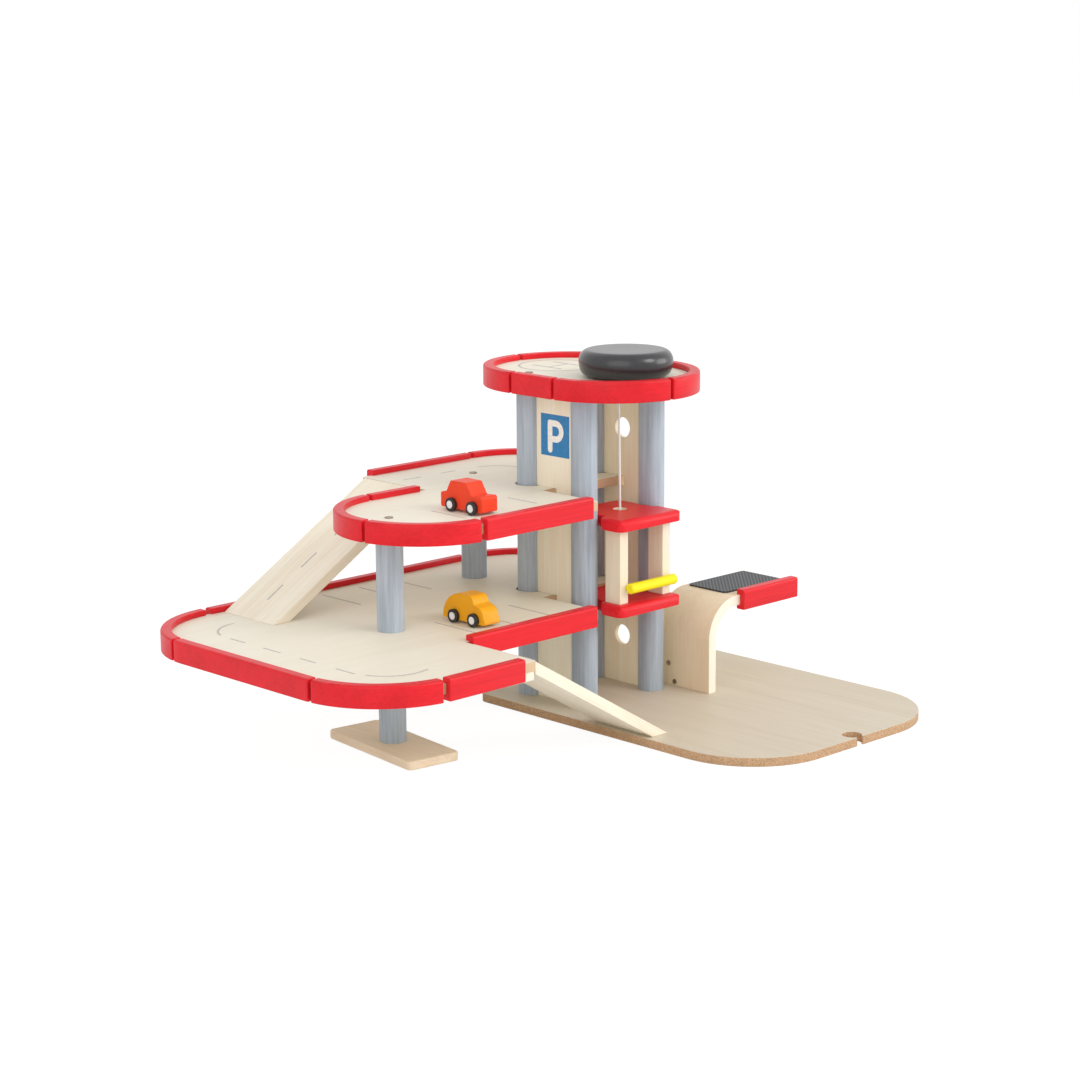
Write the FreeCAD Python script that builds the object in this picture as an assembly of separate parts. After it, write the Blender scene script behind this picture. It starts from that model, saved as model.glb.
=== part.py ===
import FreeCAD, Part
import math
import os

# A toy parking garage of wood. A lift runs in a tower of four round columns,
# two flat decks and a round roof deck hang on the tower, two ramps join the
# levels, and a bent bench with a mat stands on the floor board.
# Units are millimetres. The origin is the axis of the tower's front left
# column where it meets the ground. +Z is up, -Y is the front of the lift and
# +X points to the bench.

# Floor board
base_thickness = 10.0
base_left_x = -44.0
base_right_x = 296.0
base_front_y = -301.0
base_back_y = 132.0
base_front_radius = 100.0
base_back_radius = 12.0
keyhole_x = 126.5
keyhole_radius = 11.0
keyhole_neck = 10.0
keyhole_depth = 12.0

# Tower
column_d = 30.0
tower_width = 110.0
tower_depth = 88.0
panel_thickness = 6.0
groove_depth = 3.0
groove_play = 0.1
slot_front_y = 42.0
window_d = 24.0
window_y = 44.0
lower_window_z = 68.0
upper_window_z = 316.0

# Decks
deck_thickness = 11.0
lower_rise = 124.5
middle_rise = 124.5
roof_rise = 128.0
deck_back_y = 256.5
deck_front_y = -41.5
deck_right_x = 146.0
deck_right_radius = 83.0
deck_corner_radius = 100.0
deck_edge_radius = 3.0
shaft_left_x = -20.0
shaft_back_y = 47.5
column_play = 2.0
lower_left_x = -444.0
lower_front_y = -151.0
lower_step_x = -222.0
middle_left_x = -287.0
middle_lobe_y = 144.5
middle_step_x = -110.0
roof_radius = 91.0
roof_half_straight = 36.5

# Grooved rail on the deck edges
rail_height = 24.0
rail_wall = 7.0
rail_lip = 5.0
rail_above_deck = 6.5
rail_bevel = 1.6
rail_play = 0.2
rail_gap = 4.0
rail_wide_gap = 7.0

# Legs and foot
left_leg_x = -243.0
left_leg_y = 55.0
back_leg_x = -3.0
back_leg_y = 181.0
foot_width = 66.0
foot_length = 160.0
foot_turn = -7.0
foot_corner_radius = 6.0

# Lift cage
lift_plate_thickness = 13.0
lift_height = 98.5
lift_lip_width = 102.0
lift_lip_front_y = -53.5
lift_lip_back_y = -18.0
lift_neck_width = 78.0
lift_back_y = 38.0
lift_corner_radius = 9.0
lift_ear_radius = 8.0
lift_round = 8.0
lift_column_play = 3.0
post_width = 13.0
post_depth = 23.0
post_spacing = 70.0
post_front_y = -43.0

# Barrier across the front of the lift
barrier_d = 12.0
barrier_overhang = 2.0
barrier_free_overhang = 0.5
barrier_bevel = 1.5
barrier_height = 18.0
barrier_play = 0.3
pivot_d = 2.5
pivot_wall = 1.2
pivot_play = 0.05
pivot_depth = 14.0

# Winch: knob with its drum and pin, and the cord
knob_y = -12.0
knob_radius = 53.5
knob_shoulder = 4.0
knob_foot_radius = 44.0
knob_belly = 3.0
knob_belly_height = 5.0
knob_waist_height = 12.5
knob_height = 28.5
knob_clearance = 3.0
drum_radius = 10.4
winch_pin_d = 6.0
pin_play = 0.05
cord_d = 2.6
cord_play = 0.3
cord_bend_radius = 3.0
cord_hole_radius = 3.0
cord_guide_radius = 1.8
cord_ring_radius = 8.0
cord_ring_depth = 1.5
cord_wrap_angle = 200.0
cord_sides = 6
knot_d = 7.0
knot_height = 5.0

# Bench with mat
bench_thickness = 12.0
bench_left_x = 138.5
bench_right_x = 290.0
bench_front_y = -66.0
bench_back_y = 16.0
bench_top = 110.0
bench_bend_radius = 46.0
mat_left_x = 184.0
mat_right_x = 283.0
mat_front_y = -50.0
mat_back_y = 10.0
mat_thickness = 2.0
mat_corner_radius = 5.0
bench_rail_left_x = 191.0
bench_rail_right_x = 288.0

# Ramps
ramp_width = 88.0
ramp_thickness = 12.0
ramp_run = 210.0
ramp_play = 1.0
lower_ramp_gap = 4.0
upper_ramp_gap = 1.0
ledge_out = 6.0
ledge_in = 33.0
ledge_height = 13.0

# Heads of the bolts in the decks and of the screws in the bench
bolt_head_d = 9.0
bolt_head_height = 1.2
bench_screw_head_d = 6.0
bench_screw_head_height = 1.0
upper_bench_screw_y = -2.0
upper_bench_screw_rise = 26.0
lower_bench_screw_y = -12.0
lower_bench_screw_rise = 5.0

# Cars
car_x = -158.5
car_width = 23.0
car_underside = 3.0
wheel_d = 15.0
wheel_width = 4.0
wheel_play = 0.5
tyre_play = 0.3
axle_d = 3.0
red_car_back_y = 52.0
red_car_rear_axle_y = 33.0
red_car_front_axle_y = 0.0
yellow_car_back_y = 51.0
yellow_car_rear_axle_y = 31.5
yellow_car_front_axle_y = 0.0

# Levels and centres worked out from the sizes above
base_top = base_thickness
lower_top = base_top + lower_rise
middle_top = lower_top + middle_rise
roof_top = middle_top + roof_rise
column_top = roof_top - deck_thickness
column_radius = column_d / 2
lobe_radius = (middle_lobe_y - deck_front_y) / 2
tower_x = tower_width / 2
tower_y = tower_depth / 2
columns = {
    "front_left": (0.0, 0.0),
    "back_left": (0.0, tower_depth),
    "front_right": (tower_width, 0.0),
    "back_right": (tower_width, tower_depth),
}


def vector(x, y, z=0.0):
    return FreeCAD.Vector(x, y, z)


UP = vector(0, 0, 1)


def block(x0, y0, z0, x1, y1, z1):
    return Part.makeBox(x1 - x0, y1 - y0, z1 - z0, vector(x0, y0, z0))


def post(x, y, z0, z1, radius):
    return Part.makeCylinder(radius, z1 - z0, vector(x, y, z0), UP)


def rounded_face(corners, z=0.0):
    """A flat face whose corners are (x, y, radius); radius 0 is a sharp corner."""
    stretches = []
    for i, (x, y, radius) in enumerate(corners):
        corner = vector(x, y, z)
        before_x, before_y, _ = corners[i - 1]
        after_x, after_y, _ = corners[(i + 1) % len(corners)]
        before = (vector(before_x, before_y, z) - corner).normalize()
        after = (vector(after_x, after_y, z) - corner).normalize()
        half_angle = before.getAngle(after) / 2
        reach = radius / math.tan(half_angle)
        bisector = (before + after).normalize()
        middle = corner + bisector * (radius / math.sin(half_angle) - radius)
        stretches.append((corner + before * reach, middle, corner + after * reach, radius))
    edges = []
    for i, (start, middle, end, radius) in enumerate(stretches):
        if radius > 0:
            edges.append(Part.Arc(start, middle, end).toShape())
        following = stretches[(i + 1) % len(stretches)][0]
        if end.distanceToPoint(following) > 1e-6:
            edges.append(Part.makeLine(end, following))
    return Part.Face(Part.Wire(edges))


def plate(corners, z0, z1):
    return rounded_face(corners, z0).extrude(vector(0, 0, z1 - z0))


# Decks

def deck_right_end():
    """The corners that both decks share where they pass through the tower."""
    return [
        (deck_right_x, deck_back_y, deck_right_radius),
        (deck_right_x, shaft_back_y, 0),
        (shaft_left_x, shaft_back_y, 0),
        (shaft_left_x, deck_front_y, 0),
    ]


def cut_for_back_columns(deck, top):
    for name in ("back_left", "back_right"):
        x, y = columns[name]
        deck = deck.cut(post(x, y, top - deck_thickness, top, column_radius + column_play))
    return deck


def make_lower_deck():
    corners = [
        (lower_left_x, lower_front_y, deck_corner_radius),
        (lower_left_x, deck_back_y, deck_corner_radius),
    ] + deck_right_end() + [
        (lower_step_x, deck_front_y, 0),
        (lower_step_x, lower_front_y, deck_edge_radius),
    ]
    deck = plate(corners, lower_top - deck_thickness, lower_top)
    return cut_for_back_columns(deck, lower_top)


def make_middle_deck():
    corners = [
        (middle_left_x, deck_front_y, lobe_radius),
        (middle_left_x, middle_lobe_y, lobe_radius),
        (middle_step_x, middle_lobe_y, 0),
        (middle_step_x, deck_back_y, deck_edge_radius),
    ] + deck_right_end()
    deck = plate(corners, middle_top - deck_thickness, middle_top)
    return cut_for_back_columns(deck, middle_top)


def make_top_deck():
    left = tower_x - roof_radius
    right = tower_x + roof_radius
    front = tower_y - roof_half_straight - roof_radius
    back = tower_y + roof_half_straight + roof_radius
    corners = [
        (left, front, roof_radius),
        (left, back, roof_radius),
        (right, back, roof_radius),
        (right, front, roof_radius),
    ]
    deck = plate(corners, roof_top - deck_thickness, roof_top)
    cord_x, cord_y = cord_drop()
    deck = deck.cut(post(cord_x, cord_y, roof_top - deck_thickness, roof_top, cord_hole_radius))
    pin_bore = winch_pin_d / 2 + pin_play
    return deck.cut(post(tower_x, knob_y, roof_top - deck_thickness, roof_top, pin_bore))


# Rails: a channel with two lips that grips the board, drawn across its length
# and carried along straight and curved stretches of the deck edge.

def rail_section(edge_point, outward, deck_top):
    """The channel's section at a point of the board edge."""
    top = rail_above_deck
    bottom = rail_above_deck - rail_height
    points = [
        (-rail_lip, bottom),
        (rail_wall, bottom),
        (rail_wall, top - rail_bevel),
        (rail_wall - rail_bevel, top),
        (-rail_lip, top),
        (-rail_lip, 0),
        (rail_play, 0),
        (rail_play, -deck_thickness),
        (-rail_lip, -deck_thickness),
    ]
    corners = [edge_point + outward * across + UP * (deck_top + above) for across, above in points]
    return Part.Face(Part.makePolygon(corners + corners[:1]))


def straight(start, end, deck_top):
    """A straight stretch; the outside is on the right of the way from start to end."""
    a = vector(*start)
    b = vector(*end)
    along = (b - a).normalize()
    outward = vector(along.y, -along.x)
    return rail_section(a, outward, deck_top).extrude(b - a)


def curve(centre, radius, start_angle, end_angle, deck_top):
    """A curved stretch round a corner's centre, angles in degrees from +X."""
    turn = math.radians(start_angle)
    outward = vector(math.cos(turn), math.sin(turn))
    middle = vector(*centre)
    section = rail_section(middle + outward * radius, outward, deck_top)
    return section.revolve(middle, UP, end_angle - start_angle)


def join(stretches):
    rail = stretches[0]
    for stretch in stretches[1:]:
        rail = rail.fuse(stretch)
    return rail.removeSplitter()


def gap_angle(radius, gap=rail_gap):
    return math.degrees(gap / radius)


# The round corners' centres
lower_front_centre = (lower_left_x + deck_corner_radius, lower_front_y + deck_corner_radius)
lower_back_centre = (lower_left_x + deck_corner_radius, deck_back_y - deck_corner_radius)
right_centre = (deck_right_x - deck_right_radius, deck_back_y - deck_right_radius)
lobe_centre = (middle_left_x + lobe_radius, deck_front_y + lobe_radius)
roof_front_centre = (tower_x, tower_y - roof_half_straight)
roof_back_centre = (tower_x, tower_y + roof_half_straight)

# Where one length of rail ends and the next begins
lower_left_front_angle = 183.0
lower_left_back_angle = 172.0
lower_back_end_x = 47.0
lower_front_split_angle = 263.0
lower_front_end_x = -244.0
lower_tower_start_x = -217.0
lower_tower_end_x = -27.0
right_rail_end_y = 62.0
middle_front_end_x = -33.0
middle_left_split_angle = 187.0
middle_inner_end_x = -122.0
middle_back_start_x = -97.0
roof_left_split_y = 75.0
roof_front_split_angle = 266.0
roof_right_split_angle = 34.0
roof_back_split_angle = 85.0


def right_rail(deck_top):
    """Round the back right corner and down to the tower."""
    centre_x, centre_y = right_centre
    return join([
        straight((deck_right_x, right_rail_end_y), (deck_right_x, centre_y), deck_top),
        curve(right_centre, deck_right_radius, 0, 90, deck_top),
    ])


def make_lower_rails():
    r = deck_corner_radius
    gap = gap_angle(r)
    wide_gap = gap_angle(r, rail_wide_gap)
    top = lower_top
    front_x, front_y = lower_front_centre
    back_x, back_y = lower_back_centre
    return {
        "rail_lower_left": join([
            curve(lower_back_centre, r, lower_left_back_angle + gap / 2, 180, top),
            straight((lower_left_x, back_y), (lower_left_x, front_y), top),
            curve(lower_front_centre, r, 180, lower_left_front_angle, top),
        ]),
        "rail_lower_back_left": curve(
            lower_back_centre, r, 90, lower_left_back_angle - gap / 2, top),
        "rail_lower_back": straight(
            (lower_back_end_x, deck_back_y), (back_x + rail_wide_gap, deck_back_y), top),
        "rail_lower_back_right": join([
            right_rail(top),
            straight((right_centre[0], deck_back_y), (lower_back_end_x + rail_gap, deck_back_y), top),
        ]),
        "rail_lower_front_left": curve(
            lower_front_centre, r, lower_left_front_angle + gap, lower_front_split_angle, top),
        "rail_lower_front": join([
            curve(lower_front_centre, r, lower_front_split_angle + wide_gap, 270, top),
            straight((front_x, lower_front_y), (lower_front_end_x, lower_front_y), top),
        ]),
        "rail_lower_tower": straight(
            (lower_tower_start_x, deck_front_y), (lower_tower_end_x, deck_front_y), top),
    }


def make_middle_rails():
    r = lobe_radius
    gap = gap_angle(r)
    top = middle_top
    lobe_x = lobe_centre[0]
    return {
        "rail_middle_front": straight(
            (lobe_x, deck_front_y), (middle_front_end_x, deck_front_y), top),
        "rail_middle_front_left": curve(
            lobe_centre, r, middle_left_split_angle + gap / 2, 270 - gap_angle(r, rail_wide_gap), top),
        "rail_middle_left": curve(
            lobe_centre, r, 90 + gap, middle_left_split_angle - gap / 2, top),
        "rail_middle_inner": straight(
            (middle_inner_end_x, middle_lobe_y), (lobe_x, middle_lobe_y), top),
        "rail_middle_back": straight(
            (right_centre[0] - rail_gap, deck_back_y), (middle_back_start_x, deck_back_y), top),
        "rail_middle_back_right": right_rail(top),
    }


def make_roof_rails():
    r = roof_radius
    gap = gap_angle(r)
    top = roof_top
    left = tower_x - r
    right = tower_x + r
    front_y = roof_front_centre[1]
    back_y = roof_back_centre[1]
    return {
        "rail_roof_left": straight(
            (left, roof_left_split_y - rail_gap / 2), (left, front_y + rail_gap / 2), top),
        "rail_roof_back_left": join([
            curve(roof_back_centre, r, roof_back_split_angle + gap / 2, 180, top),
            straight((left, back_y), (left, roof_left_split_y + rail_gap / 2), top),
        ]),
        "rail_roof_front": curve(
            roof_front_centre, r, 180 + gap / 2, roof_front_split_angle - gap / 2, top),
        "rail_roof_right": join([
            curve(roof_front_centre, r, roof_front_split_angle + gap / 2, 360, top),
            straight((right, front_y), (right, back_y), top),
            curve(roof_back_centre, r, 0, roof_right_split_angle - gap / 2, top),
        ]),
        "rail_roof_back": curve(
            roof_back_centre, r, roof_right_split_angle + gap / 2,
            roof_back_split_angle - gap / 2, top),
    }


# Floor board, columns, panels and legs

def make_base():
    corners = [
        (base_left_x, base_front_y, base_front_radius),
        (base_left_x, base_back_y, base_back_radius),
        (base_right_x, base_back_y, base_back_radius),
        (base_right_x, base_front_y, base_front_radius),
    ]
    board = plate(corners, 0, base_thickness)
    eye_y = base_front_y + keyhole_depth
    board = board.cut(post(keyhole_x, eye_y, 0, base_thickness, keyhole_radius))
    half_neck = keyhole_neck / 2
    neck = block(keyhole_x - half_neck, base_front_y - 1, 0,
                 keyhole_x + half_neck, eye_y, base_thickness)
    return board.cut(neck)


def make_column(name):
    x, y = columns[name]
    column = post(x, y, base_top, column_top, column_radius)
    half_groove = panel_thickness / 2 + groove_play
    if y == 0:
        groove_start = y + column_radius - groove_depth
        groove_end = y + column_radius
    else:
        groove_start = y - column_radius
        groove_end = y - column_radius + groove_depth
    groove = block(x - half_groove, groove_start, base_top, x + half_groove, groove_end, column_top)
    return column.cut(groove)


def make_panel(x, windows):
    """A thin wall between two columns, slotted from its back edge for both decks."""
    half = panel_thickness / 2
    front_y = column_radius - groove_depth
    back_y = tower_depth - column_radius + groove_depth
    panel = block(x - half, front_y, base_top, x + half, back_y, column_top)
    for top in (lower_top, middle_top):
        panel = panel.cut(block(x - half, slot_front_y, top - deck_thickness, x + half, back_y, top))
    for z in windows:
        window = Part.makeCylinder(
            window_d / 2, panel_thickness, vector(x - half, window_y, z), vector(1, 0, 0))
        panel = panel.cut(window)
    return panel


def make_foot_plate():
    half_width = foot_width / 2
    half_length = foot_length / 2
    r = foot_corner_radius
    corners = [
        (-half_width, -half_length, r),
        (-half_width, half_length, r),
        (half_width, half_length, r),
        (half_width, -half_length, r),
    ]
    foot = plate(corners, 0, base_thickness)
    foot.rotate(vector(0, 0), UP, foot_turn)
    foot.translate(vector(left_leg_x, left_leg_y))
    return foot


def make_bolt_head(x, y, top):
    return post(x, y, top, top + bolt_head_height, bolt_head_d / 2)


# Lift cage

def rounded_slab(across_start, across_end, z0, z1, round_both):
    """A slab's end view as a face in the XZ plane, with one or both upper corners rounded."""
    far_round = lift_round if round_both else 0
    corners = [
        (across_start, z0, 0),
        (across_start, z1, lift_round),
        (across_end, z1, far_round),
        (across_end, z0, 0),
    ]
    face = rounded_face(corners)
    face.rotate(vector(0, 0), vector(1, 0), 90)
    return face


def lift_plate(z1):
    """A board whose front lip reaches past both front columns, well rounded along its upper edge."""
    half_lip = lift_lip_width / 2
    half_neck = lift_neck_width / 2
    left = tower_x - half_lip
    right = tower_x + half_lip
    r = lift_corner_radius
    corners = [
        (left, lift_lip_front_y, r),
        (left, lift_lip_back_y, lift_ear_radius),
        (tower_x - half_neck, lift_lip_back_y, 0),
        (tower_x - half_neck, lift_back_y, r),
        (tower_x + half_neck, lift_back_y, r),
        (tower_x + half_neck, lift_lip_back_y, 0),
        (right, lift_lip_back_y, lift_ear_radius),
        (right, lift_lip_front_y, r),
    ]
    z0 = z1 - lift_plate_thickness
    solid = plate(corners, z0, z1)
    length = lift_back_y - lift_lip_front_y
    ends = rounded_slab(left, right, z0, z1, True).extrude(vector(0, length, 0))
    ends.translate(vector(0, lift_lip_front_y))
    front = rounded_slab(lift_lip_front_y, lift_back_y, z0, z1, False)
    front = front.extrude(vector(0, lift_lip_width, 0))
    front.rotate(vector(0, 0), UP, 90)
    front.translate(vector(right, 0))
    solid = solid.common(ends).common(front)
    for name in ("front_left", "front_right"):
        x, y = columns[name]
        solid = solid.cut(post(x, y, z0, z1, column_radius + lift_column_play))
    return solid


def lift_roof_top():
    return lower_top + lift_height


def make_lift_roof():
    top = lift_roof_top()
    cord_x, cord_y = cord_drop()
    roof = lift_plate(top)
    roof = roof.cut(post(cord_x, cord_y, top - lift_plate_thickness, top, cord_guide_radius))
    return roof.cut(post(cord_x, cord_y, top - cord_ring_depth, top, cord_ring_radius))


def make_lift_post(side):
    centre_x = tower_x + side * post_spacing / 2
    half = post_width / 2
    z1 = lift_roof_top() - lift_plate_thickness
    back_y = post_front_y + post_depth
    board = block(centre_x - half, post_front_y, lower_top, centre_x + half, back_y, z1)
    if side < 0:
        x, z = pivot_place()
        hole = Part.makeCylinder(
            pivot_d / 2 + pivot_play, pivot_depth, vector(x, post_front_y, z), vector(0, 1, 0))
        board = board.cut(hole)
    return board


def pivot_place():
    """The barrier turns on a pin in the left post's front edge, on the cabin's side."""
    post_right_x = tower_x - post_spacing / 2 + post_width / 2
    return post_right_x - pivot_wall - pivot_play - pivot_d / 2, lower_top + barrier_height


def make_barrier():
    """A round bar in front of both posts, with the pin that it swings on."""
    x, z = pivot_place()
    r = barrier_d / 2
    y = post_front_y - barrier_play - r
    left = x - barrier_overhang
    right = tower_x + (post_spacing + post_width) / 2 + barrier_free_overhang
    bar = Part.makeCylinder(r, right - left, vector(left, y, z), vector(1, 0, 0))
    ends = [edge for edge in bar.Edges if edge.BoundBox.XLength < 1e-6]
    bar = bar.makeChamfer(barrier_bevel, ends)
    pin = Part.makeCylinder(
        pivot_d / 2, pivot_depth - pivot_play - y + post_front_y, vector(x, y, z), vector(0, 1, 0))
    return bar.fuse(pin).removeSplitter()


# Winch under the knob

def cord_path_radius():
    return drum_radius + cord_play + cord_d / 2


def cord_drop():
    """Where the cord hangs, seen from above: beside the back of the drum."""
    return tower_x + cord_bend_radius, knob_y + cord_path_radius()


def cord_wrap_z():
    return roof_top + knob_clearance / 2


def many_sided(centre, across, upward):
    """A flat face with the cord's section, between two directions at right angles."""
    corners = []
    for i in range(cord_sides + 1):
        turn = 2 * math.pi * (i + 0.5) / cord_sides
        corners.append(centre + (across * math.cos(turn) + upward * math.sin(turn)) * (cord_d / 2))
    return Part.Face(Part.makePolygon(corners))


def make_cord():
    """Up from a knot under the lift's roof, over a bend and round the drum."""
    x, y = cord_drop()
    r = cord_bend_radius
    wrap_z = cord_wrap_z()
    knot_top = lift_roof_top() - lift_plate_thickness - cord_play
    right = vector(1, 0)
    back = vector(0, 1)
    rise = many_sided(vector(x, y, knot_top), right, back).extrude(UP * (wrap_z - r - knot_top))
    bend = many_sided(vector(x, y, wrap_z - r), right, back)
    bend = bend.revolve(vector(x - r, y, wrap_z - r), vector(0, -1), 90)
    wrap = many_sided(vector(x - r, y, wrap_z), UP, back)
    wrap = wrap.revolve(vector(tower_x, knob_y), UP, cord_wrap_angle)
    knot = post(x, y, knot_top - knot_height, knot_top, knot_d / 2)
    return rise.fuse([bend, wrap, knot]).removeSplitter()


def make_knob():
    """A turned puck, flat on top and well rounded underneath, with its drum and pin."""
    z0 = roof_top + knob_clearance
    z1 = z0 + knob_height
    profile = [
        (0, roof_top - deck_thickness),
        (winch_pin_d / 2, roof_top - deck_thickness),
        (winch_pin_d / 2, roof_top),
        (drum_radius, roof_top),
        (drum_radius, z0),
        (knob_foot_radius, z0),
        (knob_radius - knob_belly, z0 + knob_belly_height),
        (knob_radius, z0 + knob_waist_height),
        (knob_radius, z1 - knob_shoulder),
        (knob_radius - knob_shoulder, z1),
        (0, z1),
        (0, roof_top - deck_thickness),
    ]
    outline = Part.makePolygon([vector(tower_x + radius, knob_y, z) for radius, z in profile])
    return Part.Face(outline).revolve(vector(tower_x, knob_y), UP, 360)


# Bench: one strip of laminated wood bent round a quarter circle

def bench_top_z():
    return base_top + bench_top


def make_bench():
    z1 = bench_top_z()
    outer = bench_bend_radius
    inner = outer - bench_thickness
    centre_x = bench_left_x + outer
    centre_z = z1 - outer
    k = math.sqrt(0.5)

    def at(x, z):
        return vector(x, bench_front_y, z)

    edges = [
        Part.makeLine(at(bench_left_x, base_top), at(bench_left_x, centre_z)),
        Part.Arc(at(bench_left_x, centre_z), at(centre_x - outer * k, centre_z + outer * k),
                 at(centre_x, z1)).toShape(),
        Part.makeLine(at(centre_x, z1), at(bench_right_x, z1)),
        Part.makeLine(at(bench_right_x, z1), at(bench_right_x, z1 - bench_thickness)),
        Part.makeLine(at(bench_right_x, z1 - bench_thickness), at(centre_x, z1 - bench_thickness)),
        Part.Arc(at(centre_x, z1 - bench_thickness), at(centre_x - inner * k, centre_z + inner * k),
                 at(bench_left_x + bench_thickness, centre_z)).toShape(),
        Part.makeLine(at(bench_left_x + bench_thickness, centre_z), at(bench_left_x + bench_thickness, base_top)),
        Part.makeLine(at(bench_left_x + bench_thickness, base_top), at(bench_left_x, base_top)),
    ]
    face = Part.Face(Part.Wire(edges))
    return face.extrude(vector(0, bench_back_y - bench_front_y, 0))


def make_bench_screws():
    places = [
        (upper_bench_screw_y, base_top + upper_bench_screw_rise),
        (lower_bench_screw_y, base_top + lower_bench_screw_rise),
    ]
    start_x = bench_left_x - bench_screw_head_height
    heads = [
        Part.makeCylinder(bench_screw_head_d / 2, bench_screw_head_height, vector(start_x, y, z), vector(1, 0, 0))
        for y, z in places
    ]
    return Part.makeCompound(heads)


def make_bench_mat():
    r = mat_corner_radius
    corners = [
        (mat_left_x, mat_front_y, r),
        (mat_left_x, mat_back_y, r),
        (mat_right_x, mat_back_y, r),
        (mat_right_x, mat_front_y, r),
    ]
    return plate(corners, bench_top_z(), bench_top_z() + mat_thickness)


def make_bench_rail():
    """The same channel as on the decks, gripping the bench's front edge."""
    left = (bench_rail_left_x, bench_front_y)
    right = (bench_rail_right_x, bench_front_y)
    rail = straight(left, right, bench_top_z())
    extra = bench_thickness - deck_thickness
    room = block(bench_rail_left_x, bench_front_y - rail_play, bench_top_z() - deck_thickness - extra,
                 bench_rail_right_x, bench_front_y + rail_lip, bench_top_z())
    return rail.cut(room)


# Ramps

def make_ramp(step_x, step_y, direction, foot_level, head_level):
    """A board from a deck edge down to the level below; direction is +1 or -1 along X.

    Its foot is cut level with the floor, and its head is stepped to sit on the ledge.
    """
    slope = math.atan2(head_level - foot_level, ramp_run)
    lean = ramp_thickness / math.cos(slope)
    flat = ramp_thickness / math.sin(slope)
    seat = ledge_out + ramp_play
    seat_level = head_level - deck_thickness

    def at(reach, z):
        return vector(step_x + direction * (ramp_play + reach), step_y, z)

    points = [
        at(0, head_level),
        at(ramp_run, foot_level),
        at(ramp_run - flat, foot_level),
        at(seat, head_level - lean - seat * math.tan(slope)),
        at(seat, seat_level),
        at(0, seat_level),
    ]
    points.append(points[0])
    face = Part.Face(Part.makePolygon(points))
    return face.extrude(vector(0, ramp_width, 0))


def lower_ramp_y():
    return deck_front_y - rail_wall - lower_ramp_gap - ramp_width


def upper_ramp_y():
    return deck_back_y - rail_lip - upper_ramp_gap - ramp_width


def make_ledge(step_x, start_y, length, direction, deck_top):
    """A strip under the deck's edge that the head of the ramp rests on."""
    z1 = deck_top - deck_thickness
    ends = sorted([step_x - direction * ledge_in, step_x + direction * ledge_out])
    return block(ends[0], start_y, z1 - ledge_height, ends[1], start_y + length, z1)


# Cars: a side outline cut from one board, with two sets of wheels. An outline
# holds corners as (along, above, radius), from the back of the underside.

saloon_outline = [
    (0, 0, 2), (0, 16, 2.5), (9, 17.5, 2), (16, 30.5, 3), (41, 30.5, 3), (49.5, 17, 2), (65.5, 18, 3), (65.5, 0, 2),
]
beetle_outline = [
    (0, 0, 1.5), (0, 30, 28), (46, 30, 8), (50, 21, 1.5), (62, 17.5, 12), (68, 0, 2),
]


def make_car_body(outline, back_y, axles_y, level):
    corners = [(back_y - along, above, radius) for along, above, radius in outline]
    body = rounded_face(corners).extrude(vector(0, 0, car_width))
    body.rotate(vector(0, 0), vector(1, 1, 1), 120)
    body.translate(vector(car_x - car_width / 2, 0, level + tyre_play + car_underside))
    axle_z = level + tyre_play + wheel_d / 2
    for axle_y in axles_y:
        bore = Part.makeCylinder(
            axle_d / 2 + pin_play, car_width, vector(car_x - car_width / 2, axle_y, axle_z), vector(1, 0, 0))
        body = body.cut(bore)
    return body


def make_wheels(axle_y, level):
    """Two wheels on one axle, turned as one piece round its line."""
    inner_x = car_width / 2 + wheel_play
    outer_x = inner_x + wheel_width
    axle_radius = axle_d / 2
    wheel_radius = wheel_d / 2
    profile = [
        (-outer_x, 0), (-outer_x, wheel_radius), (-inner_x, wheel_radius), (-inner_x, axle_radius),
        (inner_x, axle_radius), (inner_x, wheel_radius), (outer_x, wheel_radius), (outer_x, 0), (-outer_x, 0),
    ]
    axle_z = level + tyre_play + wheel_radius
    outline = Part.makePolygon([vector(car_x + x, axle_y, axle_z + up) for x, up in profile])
    return Part.Face(outline).revolve(vector(car_x, axle_y, axle_z), vector(1, 0, 0), 360)


def make_car(name, outline, back_y, rear_axle_y, front_axle_y, level):
    return {
        name + "_body": make_car_body(outline, back_y, (rear_axle_y, front_axle_y), level),
        name + "_front_wheels": make_wheels(front_axle_y, level),
        name + "_rear_wheels": make_wheels(rear_axle_y, level),
    }


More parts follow.
